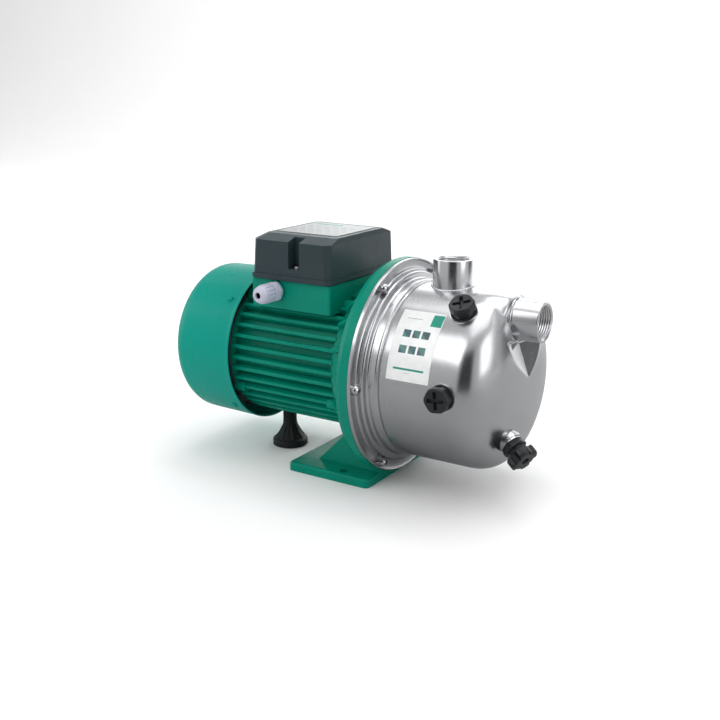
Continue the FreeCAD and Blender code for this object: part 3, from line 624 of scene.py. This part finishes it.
def grid_shell(name, outer, inner, seg, open_cell, mat, node, pole_o, pole_i, deg=35):
    """Closed turned shell about the shaft axis with openings. outer and inner are equal-length (x, r) lists from the rim to the pole."""
    n = len(outer)
    verts = []
    for prof in (outer, inner):
        for x, r in prof:
            for i in range(seg):
                a = 2 * math.pi * i / seg
                verts.append(P(x, -r * math.cos(a), r * math.sin(a)))
    verts += [P(pole_o, 0, 0), P(pole_i, 0, 0)]
    po, pi_ = len(verts) - 2, len(verts) - 1
    B = n * seg
    gone = {(k, i) for k in range(n - 1) for i in range(seg) if open_cell((outer[k][1] + outer[k + 1][1]) / 2, 360.0 * (i + .5) / seg, (outer[k][0] + outer[k + 1][0]) / 2)}
    faces = []
    for k in range(n - 1):
        for i in range(seg):
            j = (i + 1) % seg
            if (k, i) in gone:
                for a, b, other in (((k, i), (k, j), (k - 1, i)), ((k + 1, j), (k + 1, i), (k + 1, i)), ((k, j), (k + 1, j), (k, j)), ((k + 1, i), (k, i), (k, (i - 1) % seg))):
                    if other not in gone:
                        va, vb = a[0] * seg + a[1], b[0] * seg + b[1]
                        faces.append((va, vb, vb + B, va + B))
                continue
            faces.append((k * seg + i, k * seg + j, (k + 1) * seg + j, (k + 1) * seg + i))
            faces.append((B + k * seg + j, B + k * seg + i, B + (k + 1) * seg + i, B + (k + 1) * seg + j))
    for i in range(seg):
        j = (i + 1) % seg
        faces.append(((n - 1) * seg + i, (n - 1) * seg + j, po))
        faces.append((B + (n - 1) * seg + j, B + (n - 1) * seg + i, pi_))
        faces.append((j, i, B + i, B + j))
    ob = mesh_obj(name, verts, faces, mat)
    sharp(ob, deg)
    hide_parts(node)
    return ob


def offset(prof, t):
    out = []
    for k, (x, r) in enumerate(prof):
        a = prof[max(0, k - 1)]
        b = prof[min(len(prof) - 1, k + 1)]
        dx, dr = b[0] - a[0], b[1] - a[1]
        l = math.hypot(dx, dr) or 1
        nx, nr = -dr / l, dx / l       # right-hand side of the travel direction
        out.append((x + nx * t, r + nr * t))
    return out


fco = [(-161.0, 81.2), (-161.5, 81.5), (-163.5, 81.5), (-164.3, 81.2), (-166, 81.15), (-176, 81.0), (-188, 80.8), (-200, 80.6), (-214, 80.3), (-222, 80.1)]
fco += [(-222 - 17.2 * math.sin(a), 62.9 + 17.2 * math.cos(a)) for a in [math.pi / 2 * q / 16 for q in range(1, 16)]]
fco += [(-239.3, 62.5), (-239.5, 60.0), (-239.6, 58), (-239.6, 54), (-239.6, 50), (-239.6, 47), (-239.6, 44), (-239.6, 42), (-239.6, 40), (-239.6, 36), (-239.6, 32), (-239.6, 28), (-239.6, 24), (-239.4, 21), (-239.9, 19), (-239.9, 8)]
fci = offset(fco, 1.6)
if fci[4][1] > fco[4][1]:
    fci = offset(fco, -1.6)


def fan_slot(r, deg, x):
    if x > -237.5:
        return False
    a = (deg % 22.5) - 11.25
    half = 3.4 if r > 44 else 4.4
    return abs(a) < half and (24 < r < 40 or 44 < r < 58)


grid_shell("fan_cover_shell", fco, fci, 320, fan_slot, M["painted_teal"], "fan_cover", -239.9, -238.3)


# ------------------------------------------------------------------ shaped turned pieces
def lathe_mod(name, profile, mat, centre, axis, mod, body, seg=144, deg=40, node=None, spin=0.0):
    """Like lathe, but mod(k, s, r, angle) gives each point's (s, r)."""
    ax = Vector(axis).normalized()
    up = Vector((0, 0, 1)) if abs(ax.z) < 0.9 else Vector((0, 1, 0))
    u = ax.cross(up).normalized()
    w = ax.cross(u).normalized()
    c = Vector(centre)
    verts, faces = [], []
    n = len(profile)
    for i in range(seg):
        a = 2 * math.pi * i / seg
        d = u * math.cos(a + spin) + w * math.sin(a + spin)
        for k, (s, r) in enumerate(profile):
            s2, r2 = mod(k, s, r, a)
            q = c + ax * s2 + d * r2
            verts.append(P(*q))
    for i in range(seg):
        j = (i + 1) % seg
        for k in range(n):
            l = (k + 1) % n
            a_, b_, c_, d_ = i * n + k, i * n + l, j * n + l, j * n + k
            if profile[k][1] < 1e-6 and profile[l][1] < 1e-6:
                continue
            if profile[k][1] < 1e-6:
                faces.append((a_, b_, c_))
            elif profile[l][1] < 1e-6:
                faces.append((a_, b_, d_))
            else:
                faces.append((a_, b_, c_, d_))
    ob = mesh_obj(name, verts, faces, mat, body)
    sharp(ob, deg)
    if node:
        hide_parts(node)
    return ob


def hex_r(a, af, round_=0.12):
    """Radius of a hexagon of unit flats af/2 with softened corners, at angle a."""
    s = math.pi / 3
    t = (a % s) - s / 2
    r = (af / 2) / math.cos(t)
    rmax = (af / 2) / math.cos(s / 2)
    return min(r, rmax * (1 - round_ * 0.62))


def boss_line(deg, r):
    d = out_dir(deg)
    return (87.0, d.y * r, d.z * r)


def cross_plug(name, base, axis, body, node, spin):
    af, shank_r, height, shank, z0 = 22.4, 9.45, 10.4, 9.5, 1.2
    z1 = z0 + height
    rim = [(z0, .97), (z0 + .5, 1.0), (z1 - 1.6, 1.0), (z1 - .8, .985), (z1 - .25, .94), (z1, .89)]
    top = [(z1, 10.6 - .35 * q) for q in range(30)] + [(z1, 0.0)]
    nth = 56
    thr = [(-shank + .6 + (shank + z0 - 1.6) * i / nth, 1.0) for i in range(nth + 1)]
    tail = [(-shank + 2.6, 0.0), (-shank + 2.6, shank_r - 2.6), (-shank, shank_r - 2.4), (-shank, shank_r - 1.3)]
    tail2 = [(z0 - .6, shank_r - .7), (z0, shank_r + .1)]
    prof = rim + top + tail + thr + tail2
    a0, a1 = len(rim), len(rim) + len(top)
    t0 = a1 + len(tail)
    t1 = t0 + len(thr)

    def mod(k, s, r, a):
        if k < a0:
            return s, r * hex_r(a, af)
        if k < a1:
            x, y = r * math.cos(a), r * math.sin(a)
            m1, m2 = min(abs(x), abs(y)), max(abs(x), abs(y))
            e1 = min(1.0, max(0.0, (1.75 - m1) / .45))
            e2 = min(1.0, max(0.0, (8.2 - m2) / .5))
            dish = .5 * max(0.0, 1 - (r / 9.6) ** 2)
            return s + .12 - dish - 3.0 * min(e1, e2), r
        if t0 <= k < t1:
            ph = (s / 1.814 - a / (2 * math.pi)) % 1.0
            tri = min(1.0, (1 - abs(2 * ph - 1)) * 1.25)
            return s, shank_r - .85 * (1 - tri)
        return s, r
    return lathe_mod(name, prof, M["charcoal_plastic"], base, axis, mod, body, seg=192, deg=38, node=node, spin=spin)


cross_plug("priming_plug_moulding", boss_line(58, 87.0), out_dir(58), "priming_plug_screw", "priming_plug", 0.45)
cross_plug("service_plug_moulding", boss_line(2, 87.0), out_dir(2), "service_plug_screw", "service_plug", 0.12)

# drain plug: hexagonal base, neck and castellated hand knob
dax = Vector((.80, -.30, -.52)).normalized()
dse = Vector((127.6, -26.4, -48.4)) + dax * 4.4
dp = [(1.6, 0.97), (2.1, 1.0), (6.0, 1.0), (6.6, .95)]
dn = [(6.7, 8.2), (7.4, 7.7), (10.4, 7.7), (11.0, 8.6)]
dk = [(11.2, 1.0), (11.6, 1.03), (13.0, 1.05), (15.2, 1.05), (17.6, 1.05), (19.6, 1.04), (20.3, 1.0), (20.7, .93)]
dt = [(20.7, 8.0 - .5 * q) for q in range(9)] + [(18.6, 3.4), (18.5, 2.0), (18.5, 0.0)]
dth = [(-9.4 + (9.6) * i / 40, 1.0) for i in range(41)]
dtail = [(-7.4, 0.0), (-7.4, 4.6), (-10, 4.8), (-10, 6.6)]
dprof = dp + dn + dk + dt + dtail + dth + [(1.5, 8.0)]
kb, ke = len(dp) + len(dn), len(dp) + len(dn) + len(dk)
th0 = ke + len(dt) + len(dtail)
th1 = th0 + len(dth)


def drain_mod(k, s, r, a):
    if k < len(dp):
        return s, r * hex_r(a, 22.0)
    if kb <= k < ke:
        lobe = 0.5 + 0.5 * math.cos(4 * a)
        lobe = min(1.0, max(0.0, (lobe - .28) / .34))
        small = 0.5 + 0.5 * math.cos(4 * a + math.pi)
        small = min(1.0, max(0.0, (small - .72) / .12))
        return s, r * (9.3 + 4.1 * lobe + 1.5 * small)
    if th0 <= k < th1:
        ph = (s / 1.814 - a / (2 * math.pi)) % 1.0
        return s, 7.85 - .8 * (1 - min(1.0, (1 - abs(2 * ph - 1)) * 1.25))
    return s, r


lathe_mod("drain_plug_moulding", dprof, M["charcoal_plastic"], dse, dax, drain_mod, "drain_plug_screw", seg=224, deg=38, node="drain_plug", spin=0.55)

# ------------------------------------------------------------------ cable gland
gc = (-113.5, 0, 73.0)
gbody = [(61.5, .97), (62.0, 1.0), (66.4, 1.0), (67.0, .96)]
gb2 = [(67.3, 8.0), (67.6, 8.2), (78, 8.2), (78, 5.45), (53, 5.45), (53, 7.0), (61.4, 7.2)]


def gland_body_mod(k, s, r, a):
    if k < len(gbody):
        return s, r * hex_r(a, 18.6)
    return s, r


lathe_mod("gland_body_moulding", gbody + gb2, M["lavender_plastic"], gc, (0, -1, 0), gland_body_mod, ROOT, seg=144, node="cable_gland_body", spin=.2)
gn = [(67.9, 9.0), (68.3, 9.6), (69.4, 9.6), (70.0, 9.2), (70.8, 1.0), (72.0, 1.0), (75, 1.0), (78, 1.0), (81, 1.0), (82.8, 1.0), (83.6, 8.9), (85.2, 8.6), (86.8, 8.0), (88.2, 7.1), (89.2, 6.0), (89.8, 4.8), (90.0, 4.0), (89.8, 3.3), (89.2, 3.05),
      (87.8, 3.05), (87.8, 5.5), (78.4, 5.5), (78.3, 8.3), (67.9, 8.3)]


def gland_nut_mod(k, s, r, a):
    if 4 <= k <= 9:
        rib = abs(math.sin(a * 7))
        return s, 8.75 + .85 * min(1.0, rib * 1.5) - (.5 if k in (4, 9) else 0)
    return s, r


lathe_mod("gland_nut_moulding", gn, M["lavender_plastic"], gc, (0, -1, 0), gland_nut_mod, ROOT, seg=210, node="cable_gland_nut")

# ------------------------------------------------------------------ rear foot
fp = [(-112, 6.2), (-112, 18.2), (-111.5, 19.0), (-106.4, 19.0), (-105.4, 18.5), (-104.6, 17.4), (-104.2, 16.6)]
fp += [(-104.0 + 16 * q / 14, 16.3 - 8.6 * math.sin(math.pi / 2 * q / 14)) for q in range(15)]
fp += [(-84.5, 7.5), (-80, 7.4), (-73, 7.4), (-71.3, 7.2), (-71.3, 3.1), (-98, 3.1), (-100.2, 3.1), (-100.2, 6.2)]


def foot_mod(k, s, r, a):
    if 7 <= k <= 20:
        rib = max(0.0, math.cos(a * 8)) ** 6
        return s, r + 1.3 * rib * min(1, (k - 6) / 3) * min(1, (21 - k) / 4)
    return s, r


lathe_mod("rear_foot_moulding", fp, M["black_rubber"], (-144, 0, 0), (0, 0, 1), foot_mod, ROOT, seg=192, node="rear_foot")


# ------------------------------------------------------------------ printed film label
def film(name, nu, nv, pos, cell, mats, node, thick=0.00025):
    """Thin printed sheet. pos(u, v) gives a point and its outward normal; cell(u, v) picks the ink."""
    verts, faces, idx = [], [], []
    for lay in (0, 1):
        for j in range(nv + 1):
            for i in range(nu + 1):
                p, n = pos(i / nu, j / nv)
                verts.append(p + n * (thick if lay else 0.00003))
    L = (nu + 1) * (nv + 1)
    for j in range(nv):
        for i in range(nu):
            a = j * (nu + 1) + i
            q = (a, a + 1, a + nu + 2, a + nu + 1)
            faces.append(tuple(L + t for t in q))
            idx.append(cell((i + .5) / nu, (j + .5) / nv))
            faces.append(tuple(reversed(q)))
            idx.append(0)
    ring = [i for i in range(nu)] + [nu + (nu + 1) * j for j in range(nv)] + [(nu + 1) * nv + i for i in range(nu, 0, -1)] + [(nu + 1) * j for j in range(nv, 0, -1)]
    for a, b in zip(ring, ring[1:] + ring[:1]):
        faces.append((a, b, L + b, L + a))
        idx.append(0)
    me = bpy.data.meshes.new(name)
    me.from_pydata([tuple(v) for v in verts], [], faces)
    for m in mats:
        me.materials.append(m)
    for p_, k in zip(me.polygons, idx):
        p_.material_index = k
        p_.use_smooth = True
    ob = bpy.data.objects.new(name, me)
    bpy.context.scene.collection.objects.link(ob)
    sharp(ob, 50)
    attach(ob, ROOT)
    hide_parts(node)
    return ob


def ink(name, c, rough=0.32, drift=0.1):
    m, nt, b = new_mat(name)
    v = coords(nt)
    nt.links.new(mix(nt, maprange(nt, noise(nt, v, 120, 4), 0, 1), tuple(c), tuple(q * (1 - drift) for q in c)), b.inputs["Base Color"])
    nt.links.new(maprange(nt, noise(nt, v, 300, 2), rough - .04, rough + .05), b.inputs["Roughness"])
    b.inputs["Coat Weight"].default_value = 0.35
    b.inputs["Coat Roughness"].default_value = 0.15
    return m


INK = [ink("ink_white", (0.86, 0.87, 0.87)), ink("ink_green", (0.0, 0.29, 0.20)), ink("ink_teal", (0.02, 0.10, 0.13), drift=.5), ink("ink_grey", (0.45, 0.48, 0.48)), ink("ink_mid", (0.05, 0.20, 0.17), drift=.4)]


def label_pos(u, v):
    deg = 8 + (54 - 8) * v
    x = 29 + 44 * u
    d = out_dir(deg)
    return P(x, d.y * DR, d.z * DR), Vector((0, d.y, d.z))


SQ = [(.28, .64, .085, 2), (.50, .64, .085, 4), (.72, .64, .085, 2), (.28, .42, .085, 4), (.50, .42, .085, 2), (.72, .42, .085, 4)]
DOT = []


def label_cell(u, v):
    if u > .73 and .78 < v < .97 and u < .98:
        return 1
    if .14 < u < .86 and .145 < v < .175:
        return 1
    if .16 < u < .52 and .86 < v < .872:
        return 3
    if .40 < u < .55 and .105 < v < .115:
        return 3
    for x, y, h, k in SQ:
        if abs(u - x) < h and abs(v - y) < h * .62:
            return k if (u - x) * .6 + (v - y) > -h * .35 else (4 if k == 2 else 2)
    for x, y, h in DOT:
        if abs(u - x) < h and abs(v - y) < h * .65:
            return 1
    return 0


film("barrel_label", 120, 150, label_pos, label_cell, INK, "body_label")

FOIL = [M["plate_foil"], ink("foil_grey", (0.20, 0.22, 0.22)), ink("foil_green", (0.02, 0.22, 0.16))]


def plate_pos(u, v):
    return P(-130 + 72 * u, -34 + 71 * v, 127.85), Vector((0, 0, 1))


def plate_cell(u, v):
    if not (.03 < u < .97 and .03 < v < .97):
        return 0
    if .035 < u < .965 and (.035 < v < .045 or .955 < v < .965):
        return 1
    if v > .80 and .08 < u < .55 and v < .90:
        return 2
    row = (v - .10) / .075
    if 0 <= row < 9 and .15 < row % 1 < .55 and .07 < u < .93 and (u * 7 + int(row) * .37) % 1 < .78:
        return 1
    if .45 < u < .455 and .10 < v < .76:
        return 1
    return 0


film("rating_plate", 150, 150, plate_pos, plate_cell, FOIL, "nameplate", thick=0.0005)

# ------------------------------------------------------------------ bevelled edges on the CAD pieces that show
BEV = {"motor_bracket": .9, "stator_housing": .45, "terminal_box_cover": .8, "rear_end_shield": .6, "flange_screws": .35, "flange_washers": .15,
       "fan_cover_screws": .3, "cover_screws": .25, "tie_bolts": .25, "plug_bosses": .4, "drain_boss": .4, "terminal_box_gasket": .2,
       "priming_gasket": .3, "service_gasket": .3, "drain_gasket": .3, "cooling_fan": .4, "cable_gland_seal": .3}
for name, w in BEV.items():
    o = NODES.get(name)
    if o is None:
        continue
    bv = o.modifiers.new("edge", "BEVEL")
    bv.width = w * MM
    bv.segments = 2
    bv.limit_method = "ANGLE"
    bv.angle_limit = math.radians(32)
    bv.harden_normals = False
    bv.use_clamp_overlap = True
